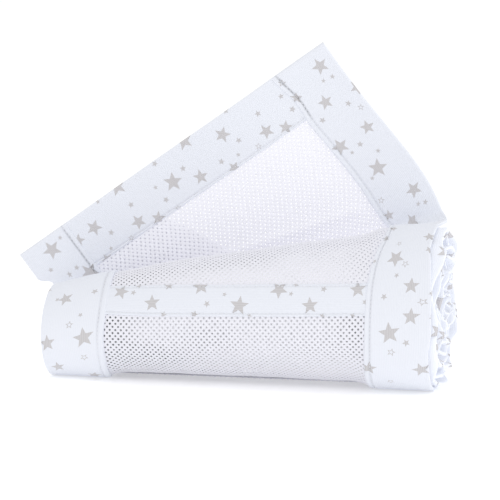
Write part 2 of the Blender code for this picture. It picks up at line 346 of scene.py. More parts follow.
def sunk(u, w):
    """How far the net between the bands is drawn in near the floor."""
    between = smooth(MESH_EDGE + 0.004, MESH_EDGE - 0.014, np.abs(u))
    return NET_SINK * between * smooth(CROSS_AT + 0.030, CROSS_AT + 0.062, w)


# The width of each side band in mm, read at places from the free end in mm: the seams do not run true.
BAND_WIDTHS = {
    1: ((0, 42.5), (25, 37), (35, 40), (50, 39), (108, 39), (125, 35), (140, 31), (164, 31), (186, 36),
        (206, 38), (240, 39), (266, 41)),
    -1: ((0, 39), (150, 39), (186, 42), (208, 44), (220, 43.5), (230, 42.5), (257, 41.5), (290, 40)),
}


def band_width(side, w):
    """A side band's width, metres, at w."""
    places, widths = np.array(BAND_WIDTHS[side]).T / 1000
    return sum(np.interp(w + past, places, widths) for past in (-0.006, 0.0, 0.006)) / 3


# How far out of true, in mm, each side band's outer edge lies at places from the free end in mm.
EDGE_SHIFTS = {
    1: ((0, 0), (160, 0), (178, -1.0), (190, 0.8), (212, 2.8), (236, 2.8), (248, 0.6), (290, 0)),
    -1: ((0, 0), (290, 0)),
}
EDGE_REACH_MM = 6.0


def edge_shift(side, across, w):
    """What that adds, metres, at mm in from the edge."""
    places, shifts = np.array(EDGE_SHIFTS[side]).T / 1000
    return np.interp(w, places, shifts) * (1 - smooth(0.0, EDGE_REACH_MM, across))


def in_window(u, w, lap):
    """Whether a place lies between the side bands, or under their edges by less than the lap."""
    return (u < HALF_WIDTH - band_width(1, w) + lap) & (u > band_width(-1, w) - HALF_WIDTH - lap)


def cross_top(u):
    """How far from the free end the cross band begins, at u."""
    return CROSS_AT + mix(*CROSS_SHIFTS, window_share(u))


def loose(u, w, lift):
    """A place on the strip's loose length, lift metres out of its printed face."""
    u, w, lift = np.broadcast_arrays(u, w, lift)
    point = looked_up(POINTS, tucked(u, w), w)
    return point + looked_up(NORMALS, u, w) * (lift + creases(u, w) - sunk(u, w))[..., None]


RUFFLE = {-1: 0.00049, 1: 0.00140}
RUFFLE_HELD = 0.15  # how much of it the outermost turn shows


def ruffle(u, turns):
    """How far the wound side bands wave in and out at the roll's ends, the outermost turn much less."""
    side = np.where(u < 0, -1, 1)
    size = np.where(u < 0, RUFFLE[-1], RUFFLE[1])
    at_edge = smooth(MESH_EDGE + 0.004, HALF_WIDTH + 0.002, np.abs(u))
    freed = smooth(1.05, 1.5, turns)
    wave = np.sin(2 * math.pi * 6.3 * turns + side) + 0.6 * np.sin(2 * math.pi * 15.1 * turns + 2.2)
    return size * at_edge * mix(RUFFLE_HELD, 1.0, freed) * wave


def wound(u, turns, lift):
    """A place on the wound length."""
    u, turns, lift = np.broadcast_arrays(u, turns, lift)
    step = 1e-4
    down = wound_point(u, turns + step) - wound_point(u, turns - step)
    across = wound_point(u + step, turns) - wound_point(u - step, turns)
    normal = unit(np.cross(down, across))
    return wound_point(u, turns) + normal * (lift + ruffle(u, turns))[..., None]


# ---------------- materials


class Nodes:
    """A short way to add linked shader nodes. Each method gives the socket for the next one to take."""

    def __init__(self, name):
        self.material = bpy.data.materials.new(name)
        self.material.use_nodes = True
        self.tree = self.material.node_tree
        self.shader = self.tree.nodes["Principled BSDF"]

    def fill(self, node, inputs):
        for socket, value in inputs.items():
            if isinstance(value, bpy.types.NodeSocket):
                self.tree.links.new(value, node.inputs[socket])
            else:
                node.inputs[socket].default_value = value

    def add(self, kind, inputs, output=0, **settings):
        node = self.tree.nodes.new(kind)
        for key, value in settings.items():
            setattr(node, key, value)
        self.fill(node, inputs)
        return node.outputs[output]

    def math(self, operation, *values):
        return self.add("ShaderNodeMath", dict(enumerate(values)), operation=operation)

    def blend(self, share, a, b):
        return self.add("ShaderNodeMix", {0: share, 6: a, 7: b}, output=2, data_type="RGBA")

    def stretch(self, value, low, high):
        """From 0 at low to 1 at high."""
        return self.add("ShaderNodeMapRange", {0: value, 1: low, 2: high})

    def noise(self, place, scale, detail):
        return self.add("ShaderNodeTexNoise", {"Vector": place, "Scale": scale, "Detail": detail})

    def bump(self, height, strength, distance):
        return self.add("ShaderNodeBump", {"Height": height, "Strength": strength, "Distance": distance})

    def read(self, uv_map):
        """A UV map, and its two parts: metres along and across the cloth, or the painted shade first."""
        uv = self.add("ShaderNodeUVMap", {}, uv_map=uv_map)
        along = self.add("ShaderNodeSeparateXYZ", {0: uv})
        return uv, along, along.node.outputs[1]

    def wave(self, coordinate, pitch, phase=0.0):
        """A sine from 0 to 1 with that pitch in metres."""
        turned = self.math("MULTIPLY_ADD", coordinate, 2 * math.pi / pitch, phase)
        return self.math("MULTIPLY_ADD", self.math("SINE", turned), 0.5, 0.5)


def shaded(colour, share):
    return tuple(c * share for c in colour[:3]) + (1.0,)


RIB_PITCH, RIB_STEP_PITCH, RIB_STEP_SHARE = 0.00105, 0.00210, 0.25
MOTTLE_SCALE, MOTTLE_SHARE, MOTTLE_SHADE = 60.0, 0.25, 0.965
COTTON_FUZZ_SCALE, COTTON_FUZZ_SHARE = 1100.0, 0.25
COTTON_BUMP, COTTON_BUMP_DEPTH = 0.35, 0.00025
# Painted shade along the stitch lines: how far the cotton takes on a darker tone there, and that tone.
PAINTED_SHADE_SHARE, PAINTED_SHADE_TONE = 0.9, 0.36


def cotton(name, colour, rib_colour, rib_share, glow):
    """Ribbed cotton: fine ribs along the band, broken by a slighter cross rib, and a soft uneven tint.

    The glow stands for the light that comes through thin cloth, more of it where the cloth is bunched.
    """
    nodes = Nodes(name)
    uv, along, across = nodes.read("cloth")
    ribs = nodes.wave(across, RIB_PITCH)
    steps = nodes.math("MULTIPLY", nodes.wave(along, RIB_STEP_PITCH), RIB_STEP_SHARE)
    mottle = nodes.math("MULTIPLY", nodes.noise(uv, MOTTLE_SCALE, 3.0), MOTTLE_SHARE)
    fuzz = nodes.math("MULTIPLY", nodes.noise(uv, COTTON_FUZZ_SCALE, 2.0), COTTON_FUZZ_SHARE)
    height = nodes.math("ADD", nodes.math("ADD", ribs, steps), fuzz)
    valley = nodes.math("MULTIPLY", nodes.math("SUBTRACT", 1.0, ribs), rib_share)
    # Painted shade along the stitch lines, and beside the end band.
    painted_shade = nodes.math("MULTIPLY", nodes.read("painted_shade")[1], PAINTED_SHADE_SHARE)
    tint = nodes.blend(valley, colour, rib_colour)
    tint = nodes.blend(mottle, tint, shaded(colour, MOTTLE_SHADE))
    tint = nodes.blend(painted_shade, tint, shaded(colour, PAINTED_SHADE_TONE))
    bumped = nodes.bump(height, COTTON_BUMP, COTTON_BUMP_DEPTH)
    nodes.fill(nodes.shader, {
        "Base Color": tint, "Normal": bumped, "Roughness": 0.88, "Specular IOR Level": 0.25,
        "Sheen Weight": 0.12, "Sheen Roughness": 0.5, "Emission Color": colour, "Emission Strength": glow,
    })
    return nodes.material


TWIST_PITCH, TWIST_SHARE, TWIST_SHADE = 0.00042, 0.15, 0.88
YARN_FUZZ_SCALE = 3000.0
YARN_BUMP, YARN_BUMP_DEPTH = 0.3, 0.00012


def yarn(name, colour, glow):
    """Knitted yarn of the net, with a fine twist. The glow stands for light that comes through it."""
    nodes = Nodes(name)
    uv, along, across = nodes.read("cloth")
    twist = nodes.wave(nodes.math("ADD", along, across), TWIST_PITCH)
    height = nodes.math("ADD", twist, nodes.noise(uv, YARN_FUZZ_SCALE, 2.0))
    valley = nodes.math("MULTIPLY", nodes.math("SUBTRACT", 1.0, twist), TWIST_SHARE)
    tint = nodes.blend(valley, colour, shaded(colour, TWIST_SHADE))
    bumped = nodes.bump(height, YARN_BUMP, YARN_BUMP_DEPTH)
    nodes.fill(nodes.shader, {
        "Base Color": tint, "Normal": bumped, "Roughness": 0.8, "Specular IOR Level": 0.3,
        "Sheen Weight": 0.1, "Emission Color": colour, "Emission Strength": glow,
    })
    return nodes.material


NET_PITCH = (0.00366, 0.00400)  # the net holes' spacing across and along the strip
BELOW_PITCH = (NET_PITCH[0] * 1.03, NET_PITCH[1] * 0.985)  # of the layers below, along their two diagonals
BELOW_PHASE = (0.7, 2.1)
# Painted shade: the holes of the layers below show as a lattice of darker dots.
DOT_FROM, DOT_TO, HOLE_SHADE_SHARE = 0.30, 0.75, 0.16
THROUGH_NET = 0.33
BLACK = (0.0, 0.0, 0.0, 1.0)


def under_net(name, light, dark):
    """The next layers of net below the outer one: a matt white, with painted shade where the layers part.

    Light comes through the thin layers of net, which a faint glow of the lit parts stands for.
    """
    nodes = Nodes(name)
    _, along, across = nodes.read("cloth")
    # Painted shade: darker dots for the holes of the layers below, and the shade where the layers part.
    one = nodes.wave(nodes.math("ADD", along, across), BELOW_PITCH[0], BELOW_PHASE[0])
    two = nodes.wave(nodes.math("SUBTRACT", along, across), BELOW_PITCH[1], BELOW_PHASE[1])
    hole_shade = nodes.stretch(nodes.math("MULTIPLY", one, two), DOT_FROM, DOT_TO)
    share = nodes.math("MULTIPLY_ADD", hole_shade, HOLE_SHADE_SHARE, nodes.read("painted_shade")[1])
    share = nodes.stretch(share, 0.0, 1.0)
    nodes.fill(nodes.shader, {
        "Base Color": nodes.blend(share, light, dark), "Roughness": 0.9, "Specular IOR Level": 0.2,
        "Emission Color": nodes.blend(share, light, BLACK), "Emission Strength": THROUGH_NET,
    })
    return nodes.material


CLOTH_GLOW, BUNCHED_GLOW = 0.08, 0.19
YARN_GLOW, FLAP_YARN_GLOW, SLACK_YARN_GLOW = 0.03, 0.21, 0.02
# Each cotton's colour, the colour between its ribs, and how far it takes that on.
CLOTH = ((0.785, 0.805, 0.865, 1.0), (0.72, 0.745, 0.81, 1.0), 0.5)
PRINT = ((0.52, 0.505, 0.515, 1.0), (0.66, 0.65, 0.67, 1.0), 0.8)
NET_WHITE = (0.86, 0.86, 0.92, 1.0)
FLAP_NET_WHITE = (0.79, 0.79, 0.84, 1.0)
THREAD_WHITE = (0.84, 0.85, 0.89, 1.0)
# The layers below: their matt white, and the colour of their painted shade.
BELOW_LIGHT, BELOW_SHADE = (0.90, 0.90, 0.92, 1.0), (0.34, 0.34, 0.36, 1.0)

# Painted light: bunched cotton and the flap's net are copies with more glow, the slack's net with less.
COTTON = cotton("ribbed_cotton", *CLOTH, CLOTH_GLOW), cotton("printed_star", *PRINT, CLOTH_GLOW)
BUNCHED = cotton("bunched_cotton", *CLOTH, BUNCHED_GLOW), cotton("bunched_star", *PRINT, BUNCHED_GLOW)
NET = yarn("net_yarn", NET_WHITE, YARN_GLOW)
FLAP_NET = yarn("flap_net_yarn", FLAP_NET_WHITE, FLAP_YARN_GLOW)
SLACK_NET = yarn("slack_net_yarn", NET_WHITE, SLACK_YARN_GLOW)
THREAD = yarn("stitch_thread", THREAD_WHITE, YARN_GLOW)
BELOW = under_net("net_below", BELOW_LIGHT, BELOW_SHADE)


# ---------------- meshes


def add_object(name, data):
    added = bpy.data.objects.new(name, data)
    bpy.context.scene.collection.objects.link(added)
    return added


def add_mesh(name, cloths, points, faces, uv, kinds=None, painted_shade=None):
    """A smooth piece from arrays. uv is metres of cloth, and kinds says which cloth each face is of."""
    mesh = bpy.data.meshes.new(name)
    count, corners = faces.shape
    mesh.vertices.add(len(points))
    mesh.vertices.foreach_set("co", np.asarray(points, np.float32).ravel())
    mesh.loops.add(count * corners)
    mesh.loops.foreach_set("vertex_index", faces.astype(np.int32).ravel())
    mesh.polygons.add(count)
    mesh.polygons.foreach_set("loop_start", np.arange(0, count * corners, corners, dtype=np.int32))
    mesh.update(calc_edges=True)
    maps = {"cloth": uv} if painted_shade is None else {"cloth": uv, "painted_shade": np.stack([painted_shade, 0 * painted_shade], 1)}
    for layer_name, pairs in maps.items():
        layer = mesh.uv_layers.new(name=layer_name)
        layer.data.foreach_set("uv", np.asarray(pairs, np.float32)[faces.ravel()].ravel())
    for cloth in cloths:
        mesh.materials.append(cloth)
    if kinds is not None:
        mesh.polygons.foreach_set("material_index", kinds.astype(np.int32))
    mesh.validate()
    mesh.shade_smooth()
    piece = add_object(name, mesh)
    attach(piece, "root")
    return piece


def rim_edges(faces):
    """The edges that only one face has, as pairs of points."""
    sides = faces.shape[1]
    edges = np.concatenate([faces[:, [i, (i + 1) % sides]] for i in range(sides)])
    _, first, times = np.unique(np.sort(edges, axis=1), axis=0, return_index=True, return_counts=True)
    return edges[first[times == 1]]


def face_inwards(points, faces, outward):
    """Whether the faces, as a whole, turn away from their first points' outward directions."""
    corner = points[faces]
    facing = np.cross(corner[:, 1] - corner[:, 0], corner[:, 2] - corner[:, 1])
    return (facing * outward[faces[:, 0]]).sum() < 0


def closed(triangles, size):
    """Triangles of a closed sheet, given its front's. The back's points follow the front's."""
    a, b = rim_edges(triangles).T
    rim = [np.stack([b, a, a + size], 1), np.stack([b, a + size, b + size], 1)]
    return np.concatenate([triangles, triangles[:, ::-1] + size, *rim])


# ---------------- the star print

PRINT_REPEAT_MM = 107.0
PRINT_DRIFT_MM = -2.0
STAR_WAIST = 0.43
RING_SHARE = 0.58

# The print on each cut of cotton, charted. A star has its mm along the cut and in from its edge, and
# its size. Where they aren't 0, the degrees that one point turns from the cut's length and 1 for an outline
# follow.
STAR_COLUMNS = ("along", "across", "size", "turn", "outline")
STARS = {
    "end": [
        (38.8, 14.5, 10, 20), (53, 13.5, 11.5, 31), (60.5, 22.5, 4.7, 20), (54, 31, 3.4),
        (47.5, 35.5, 8.5, 50), (82, 0, 13, 64), (65.5, 1, 3.4), (82.5, 15, 4.7, 60), (80, 27, 10.7, 48),
        (69.5, 33, 4.7, 15, 1), (92.5, 32.5, 10, 19), (115, 18.5, 13.5, 10), (112, 2, 4.6, 30),
        (103, 15, 3.6), (126, 15, 4.7, 10), (104, 25.5, 4.7, 40), (107.5, 34.5, 4.5, 0, 1),
        (132.5, 26, 10.7, 3), (137.5, 0.5, 13, 64), (150, 25.5, 4.7, 20), (154.5, 33.5, 9, 40),
        (161.5, 11.5, 11.3, 29), (168, 20.5, 4.6, 50), (162, 28, 3.4), (172.5, 0, 4.5),
        (176, 31, 4.7, 15, 1), (186, 26, 10.5, 50), (188.5, 13.5, 4.6, 60), (197.5, 31, 9.5, 20),
        (207, 13, 4.2), (208, 24, 4.8, 30),
    ],
    "cross": [
        (52, 5.3, 11.3, 68), (60.5, 5.8, 4.2), (63.5, 0.3, 4.6, 10), (74, 12.6, 11.2, 48), (84, 1, 6.5, 46),
        (82, 19.8, 4.5), (102.5, 19.6, 5.2), (105.5, 1.8, 11.5, 46), (110.5, 13.1, 4.8, 20),
        (121.5, 7, 3.4), (131.5, 14, 12.8, 60), (156.5, 4, 12, 18), (164.5, 6.8, 3.5), (167, 0.5, 4, 30),
        (177, 14, 11, 48), (185, 3.8, 4.6), (206.5, 4.2, 10.8, 48), (211.5, 12.1, 4), (138.5, 20.6, 4),
        (185, 20.4, 4), (204, 20.4, 4),
    ],
    "right_flap": [
        (11.5, 10.5, 11.8, 33), (21.5, 8, 4), (20.5, 14.5, 3.4), (6.5, 35.5, 5.2, 0, 1), (19.5, 36, 8),
        (32.5, 22, 10.6, 43), (41.5, 10.5, 4.7, 10), (48, 5.5, 4.6, 0, 1), (36, -1, 10.5, 20),
        (41, 30.5, 4.7, 30), (61, 10.5, 10.3, 53), (61.5, 32.5, 11.8, 36), (67.5, 21.5, 4.7), (69, 29, 3.3),
        (77.5, 15, 3.7), (86.5, 22, 13, 65), (90, 29, 3.4), (111, 10.5, 11.2, 26), (122, 7.5, 4),
        (120.5, 12, 3.5), (105, 32, 4.9, 0, 1), (116, 33, 7.7, 55), (127, 21, 9, 30),
    ],
    "right_roll": [
        (-29.5, 22.5, 4.6, 0, 1), (-17.5, 22.5, 13, 67), (-13, 15, 5.3, 0, 1), (-5.5, 20, 3.8),
        (1.5, 10, 10.6, 37), (7.5, 27, 4.6), (11.5, 3.5, 5, 10, 1), (6.5, 0, 3), (20, 9.5, 11.2, 40),
        (21, -1, 4), (29.5, 23, 14.3, 30), (36, 12.5, 5.1, 10), (42, 22, 5.7, 54, 1), (54, 36, 10.5, 42),
        (56, 4.5, 11.5, 22), (68, 24, 5, 0, 1), (-36, 36, 7, 20), (-16, 37.5, 3.4), (-35.5, 2.5, 9, 20),
        (-23.5, 0.5, 6),
    ],
    "left_flap": [
        (9.5, 20.5, 13.6, 42), (6, 30, 3.7), (20, 11.5, 4.1, 30), (29.5, 18.5, 5.4, 20), (28.5, 27, 4.4),
        (36, 32.5, 13.6, 51),
    ],
    "left_roll": [
        (3.5, 14.5, 10, 55), (1.5, 31, 4.6), (16.5, 25, 3.2), (21.5, 19, 5, 30, 1), (30.5, 27.5, 13, 43),
        (30.5, 4.5, 11, 38), (44, 27, 5.5, 0, 1), (50, 9, 10, 40), (-8, 0.5, 5), (3, 9, 3.4),
        (64, 30, 10, 20),
    ],
}
REPEAT_FROM, REPEAT_TO = 41.0, 148.0


def charted(cut, origin=0.0):
    """The stars of a chart, with the origin's distance along the cut."""
    stars = [dict(zip(STAR_COLUMNS, row + (0, 0))) for row in STARS[cut]]
    return [{**star, "along": star["along"] + origin} for star in stars]


def repeating(first, last):
    """The print's repeat from first to last mm along a cut. It runs slightly off the grain."""
    found = []
    for star in charted("end"):
        if not REPEAT_FROM < star["along"] < REPEAT_TO:
            continue
        low = math.ceil((first - star["along"]) / PRINT_REPEAT_MM)
        for repeat in range(low, math.floor((last - star["along"]) / PRINT_REPEAT_MM) + 1):
            drift = repeat % 3 * PRINT_DRIFT_MM
            along = star["along"] + repeat * PRINT_REPEAT_MM
            found.append({**star, "along": along, "across": star["across"] + drift})
    return found


def star_outline(star, scale=1.0):
    """The ten corners of a five-pointed star, in mm."""
    radius = star["size"] / 2 * scale
    corners = []
    for i in range(10):
        reach = radius if i % 2 == 0 else radius * STAR_WAIST
        angle = math.radians(star["turn"] + 36 * i)
        corners.append((star["along"] + reach * math.cos(angle), star["across"] + reach * math.sin(angle)))
    return corners


def in_star(star, points, scale=1.0):
    """Which points, in mm, lie inside the star."""
    offset = points - np.array([star["along"], star["across"]])
    radius = star["size"] / 2 * scale
    angle = np.arctan2(offset[:, 1], offset[:, 0]) - math.radians(star["turn"])
    fold = np.abs((angle + math.pi / 5) % (2 * math.pi / 5) - math.pi / 5)
    reach = np.hypot(offset[:, 0], offset[:, 1])
    x, y = reach * np.cos(fold), reach * np.sin(fold)
    waist = radius * STAR_WAIST
    bx, by = waist * math.cos(math.pi / 5) - radius, waist * math.sin(math.pi / 5)
    return bx * y - by * (x - radius) > 0


def clipped(polygon, low, high):
    """A polygon cut to a box, by one side after another."""
    for axis in (0, 1):
        for bound, keep in ((low[axis], 1), (high[axis], -1)):
            kept = []
            for a, b in zip(polygon, polygon[1:] + polygon[:1]):
                inside_a = (a[axis] - bound) * keep >= 0
                inside_b = (b[axis] - bound) * keep >= 0
                if inside_a:
                    kept.append(a)
                if inside_a != inside_b:
                    share = (bound - a[axis]) / (b[axis] - a[axis])
                    kept.append(tuple(mix(np.array(a), np.array(b), share)))
            polygon = kept
    return polygon


ROW_EXTRAS = (-0.9, -0.45, 0.0, 0.45, 0.9)
EDGE_ROWS = (0.35, 1.0)
LEAST_ROW_MM = 0.5
MERGED_MM, LEAST_TURN = 1e-4, 1e-6  # points so near become one, and triangles so thin are left out


def grid_rows(width, spacing, hems):
    """Places across a cut: an even spacing, and closer by its edges and its stitch lines."""
    fine = [0.0, width, *EDGE_ROWS, *(width - e for e in EDGE_ROWS)]
    fine += [hem + extra for hem in hems for extra in ROW_EXTRAS if 0 < hem + extra < width]
    even = np.linspace(0, width, max(2, round(width / spacing) + 1))
    rows = fine + [row for row in even if min(abs(row - f) for f in fine) > LEAST_ROW_MM]
    return np.unique(np.round(rows, 4))


def printed_pattern(length, width, spacing, stars, hems):
    """Triangles of a flat cut of cotton, in mm, with the stars' outlines among their edges.

    Returns the points, the triangles, and which triangles are printed.
    """
    columns = np.linspace(0, length, max(2, round(length / spacing) + 1))
    rows = grid_rows(width, spacing, hems)
    grid = np.stack(np.meshgrid(columns, rows, indexing="ij"), -1).reshape(-1, 2)
    points, edges = [Vector(p) for p in grid], []
    for star in stars:
        for scale in (1.0, RING_SHARE) if star["outline"] else (1.0,):
            outline = clipped(star_outline(star, scale), (0, 0), (length, width))
            if len(outline) < 3:
                continue
            base = len(points)
            points += [Vector(p) for p in outline]
            edges += [(base + i, base + (i + 1) % len(outline)) for i in range(len(outline))]
    made = geometry.delaunay_2d_cdt(points, edges, [], 0, MERGED_MM, False)
    flat = np.array([tuple(v) for v in made[0]])
    triangles = np.array([f for f in made[2] if len(f) == 3])
    middles = flat[triangles].mean(axis=1)
    printed = np.zeros(len(triangles), bool)
    for star in stars:
        inside = in_star(star, middles)
        if star["outline"]:
            inside &= ~in_star(star, middles, RING_SHARE)
        printed |= inside
    corner = flat[triangles]
    turn = np.cross(corner[:, 1] - corner[:, 0], corner[:, 2] - corner[:, 0])
    triangles[turn < 0] = triangles[turn < 0][:, ::-1]
    keep = np.abs(turn) > LEAST_TURN
    return flat, triangles[keep], printed[keep]


# ---------------- cotton bands

HEM_WIDTH_MM = 3.6
BAND_HALF = 0.0012
EDGE_ROUND_MM = 1.0
EDGE_HALF_SHARE, END_HALF_SHARE = 0.15, 0.35  # of that thickness, at the band's long edges and at its ends
GROOVE_DEPTH, GROOVE_REACH_MM = 0.00075, 0.5
PUCKER, PUCKER_REACH_MM = 0.00012, 3.5
# The painted shade on plain stitch lines.
PLAIN_STITCH_SHADE = 0.12
SPACING_MM, WOUND_SPACING_MM = 1.7, 2.4


def near_hems(across, hems, reach):
    """1 on a stitch line, fading within about that many mm of it."""
    return sum(np.exp(-(((across - at) / reach) ** 2)) for at in hems)


def band_profile(across, width, hems):
    """Half the cloth's thickness: rounded at its edges, pinched along each hem's stitch line."""
    from_edge = np.minimum(across, width - across)
    rounded = np.sqrt(1 - (1 - np.clip(from_edge / EDGE_ROUND_MM, 0, 1)) ** 2)
    half = BAND_HALF * mix(EDGE_HALF_SHARE, 1.0, rounded)
    return half - GROOVE_DEPTH * near_hems(across, hems, GROOVE_REACH_MM)


def pucker(along, across, hems):
    """Small puckers that a seam draws, fading within a few mm of it."""
    waves = np.sin(along * 0.95 + 2.1 * np.sin(along * 0.21))
    return PUCKER * near_hems(across, hems, PUCKER_REACH_MM) * waves


def cotton_band(name, length, width, place, hems, stars, spacing=SPACING_MM, shade=None, cloths=COTTON):
    """A closed cotton band. place turns mm along, mm across and a lift into points in the frame.

    shade gives how much painted shade the stitch lines take at mm along the band.
    """
    flat, triangles, printed = printed_pattern(length, width, spacing, stars, hems)
    along, across = flat.T
    from_end = np.clip(np.minimum(along, length - along) / EDGE_ROUND_MM, 0, 1)
    half = band_profile(across, width, hems) * mix(END_HALF_SHARE, 1.0, np.sqrt(from_end))
    rise = pucker(along, across, hems)
    front = place(along, across, half + rise)
    back = place(along, across, rise - half)
    if face_inwards(front, triangles, front - back):
        triangles = triangles[:, ::-1]
    faces = closed(triangles, len(flat))
    kinds = np.zeros(len(faces), int)
    kinds[: 2 * len(printed)] = np.tile(printed, 2)
    # Painted shade along the stitch lines.
    painted_shade = near_hems(across, hems, GROOVE_REACH_MM) * (shade(along) if shade else PLAIN_STITCH_SHADE)
    points, uv = np.concatenate([front, back]), np.tile(flat, (2, 1)) / 1000
    return add_mesh(name, cloths, points, faces, uv, kinds, np.tile(painted_shade, 2))


STITCH_PITCH_MM = 2.7
STITCH_LENGTH_MM = 1.9
STITCH_RADIUS = 0.00022
STITCH_ARCH = 0.00018
STITCH_SIDES = 6
# Each ring's place and size, as shares of a stitch's half length and of its radius.
STITCH_RINGS = ((-1.0, 0.15), (-0.7, 1.0), (0.7, 1.0), (1.0, 0.15))
STITCHES = []


def stitch_row(length, across, place):
    """The points of short threads along a hem's stitch line, each a small spindle sunk in its groove."""
    middles = np.arange(STITCH_PITCH_MM, length - STITCH_PITCH_MM, STITCH_PITCH_MM)
    shares, sizes = np.array(STITCH_RINGS).T[:, None, :, None]
    spin = np.linspace(0, 2 * math.pi, STITCH_SIDES, endpoint=False)
    along = middles[:, None, None] + shares * STITCH_LENGTH_MM / 2 + 0 * spin
    reach = STITCH_RADIUS * sizes + 0 * along
    lift = BAND_HALF - GROOVE_DEPTH + STITCH_ARCH * (1 - shares**2) + reach * np.sin(spin)
    across = across + reach * np.cos(spin) * 1000
    STITCHES.append(place(along.ravel(), across.ravel(), lift.ravel()))


def stitching():
    """The one piece of all the stitches."""
    ring = np.arange(STITCH_SIDES)
    step = np.roll(ring, -1)
    sleeve = np.stack([ring, step, step + STITCH_SIDES, ring + STITCH_SIDES], 1)
    cap = np.array([[0, 1, 2, 3], [0, 3, 4, 5]])
    last = len(STITCH_RINGS) - 1
    one = [sleeve + i * STITCH_SIDES for i in range(last)] + [cap[:, ::-1], cap + last * STITCH_SIDES]
    points = np.concatenate(STITCHES)
    starts = np.arange(0, len(points), len(STITCH_RINGS) * STITCH_SIDES)
    faces = (np.concatenate(one) + starts[:, None, None]).reshape(-1, 4)
    add_mesh("hem_stitches", [THREAD], points, faces, points[:, [0, 2]])


# ---------------- net

HOLE_RADIUS = 0.00068
FLAP_HOLE_RADII = (0.00041, 0.00053)  # over the flap, and where it is slack or lies on the roll
SLACK_HOLE_RADIUS = 0.00048
HOLE_JITTER = 0.06
YARN_HALF = 0.00034
KNOT_SHARE, STRAND_SHARE = 1.15, 0.85  # of that thickness
YARN_JITTER = 0.00006
NET_MARGIN = 40  # half pitches that the lattice reaches past the cloth
RING = np.array([(2, 0), (1, 1), (0, 2), (-1, 1), (-2, 0), (-1, -1), (0, -2), (1, -1)])


def net_spot(spots, skew):
    """The u and w of spots of the net's lattice in half pitches. The skew is what the net leans."""
    u, w = (spots * NET_PITCH / 2).T
    return u + skew[0] * w, w + skew[1] * u


def net_piece(name, inside, reach, place, skew=(0.0, 0.0), hole=HOLE_RADIUS, cloths=(NET,), kind=None):
    """Closed net of diamond cells round rounded holes, staggered, wherever inside(u, w) is true.

    hole is the holes' radius, or hole(u, w) gives it. kind(u, w) says which of the cloths a cell is of.
    """
    rng = np.random.default_rng(7)
    count_a, count_b = (int(r / p * 2) + NET_MARGIN for r, p in zip(reach, NET_PITCH))
    columns, rows = np.arange(-count_a, count_a), np.arange(-NET_MARGIN, count_b)
    grid = np.stack(np.meshgrid(columns, rows, indexing="ij"), -1)
    cells = grid[grid.sum(axis=-1) % 2 == 0]
    cells = cells[inside(*net_spot(cells, skew))]
    outer = (cells[:, None, :] * 2 + RING).reshape(-1, 2)
    corners, index = np.unique(outer, axis=0, return_inverse=True)
    index = index.reshape(-1, len(RING))
    spots = np.stack(net_spot(corners / 2, skew), 1)
    spots = spots + rng.normal(0, YARN_JITTER, corners.shape)
    thick = np.where((corners % 2 == 0).all(axis=1), KNOT_SHARE, STRAND_SHARE) * YARN_HALF
    directions = RING / np.linalg.norm(RING, axis=1, keepdims=True)
    middles = np.stack(net_spot(cells, skew), 1)
    radius = (hole(*middles.T) if callable(hole) else hole) * (1 + rng.normal(0, HOLE_JITTER, len(cells)))
    holes = (middles[:, None, :] + directions * radius[:, None, None]).reshape(-1, 2)
    count = len(corners)
    flat = np.concatenate([spots, spots, holes])
    points = place(*flat.T, np.concatenate([thick, -thick, 0 * holes[:, 0]]))
    rims = np.arange(len(holes)).reshape(index.shape) + 2 * count
    turn = np.roll(np.arange(len(RING)), -1)
    front = np.stack([index, index[:, turn], rims[:, turn], rims], -1).reshape(-1, 4)
    back = np.stack([index[:, turn] + count, index + count, rims, rims[:, turn]], -1).reshape(-1, 4)
    a, b = rim_edges(index).T
    faces = np.concatenate([front, back, np.stack([b, a, a + count, b + count], 1)])
    if face_inwards(points, front, points[:count] - points[count : 2 * count]):
        faces = faces[:, ::-1]
    kinds = np.zeros(len(faces), int)
    if kind:
        kinds[: 2 * len(front)] = np.tile(np.repeat(kind(*middles.T), len(RING)), 2)
    piece = add_mesh(name, cloths, points, faces, flat, kinds)
    sharpen(piece.data, 2 * count)
    return piece


def sharpen(mesh, first):
    """Keeps the shading apart along the holes' rims, the edges between points from the first on."""
    ends = np.empty(2 * len(mesh.edges), np.int32)
    mesh.edges.foreach_get("vertices", ends)
    sharp = mesh.attributes.new("sharp_edge", "BOOLEAN", "EDGE")
    sharp.data.foreach_set("value", (ends.reshape(-1, 2) >= first).all(axis=1))


# ---------------- pieces

SEAM_LAP = 0.0022
NET_LIFT = -0.0004
FLAP_SKEW = (0.244, -0.08)
SIDE_BAND_LIFT = 0.00025
SEAM_LOW_MM = 15.0
# The print's repeat fills what a side band's charts leave, from there past the fold to there above the cross
# band.
PAST_FOLD_MM, ABOVE_CROSS_MM = 6.0, 45.0
WORDS = {-1: "left", 1: "right"}
SIDE_MM = SIDE_BAND_WIDTH * 1000
SIDE_HEM_MM = SIDE_MM - HEM_WIDTH_MM
END_HEMS_MM = (END_BAND_WIDTH * 1000 - 1.8,)
CROSS_HEMS_MM = (1.7, CROSS_WIDTH * 1000 - 1.7)

# Painted shade on each side band's stitch line at mm from the free end: a gap's shadow beside the end band.
STITCH_SHADE_CHART = {
    1: ((0, 0.2), (3, 1.0), (32, 1.0), (38, 0.2), (150, 0.2), (170, 0.4), (235, 0.35), (270, 0.2)),
    -1: ((0, 0.2), (6, 0.8), (36, 1.0), (42, 0.2), (150, 0.2), (185, 0.4), (225, 0.35), (240, 0.1)),
}


def band_across(side, across, w):
    """Metres in from the strip's edge, for mm across a side band's cut. Its inner part follows the join."""
    inner = band_width(side, w) * 1000
    narrowed = SEAM_LOW_MM + (across - SEAM_LOW_MM) * (inner - SEAM_LOW_MM) / (SIDE_MM - SEAM_LOW_MM)
    return np.where(across > SEAM_LOW_MM, narrowed, across) / 1000


def under_w(u):
    """How far along the strip it goes under the roll, at u."""
    w = np.linspace(CROSS_AT, LOOSE_LENGTH, 400)
    return w[np.searchsorted(looked_up(STAGES, np.full_like(w, u), w), UNDER - 1e-3)]


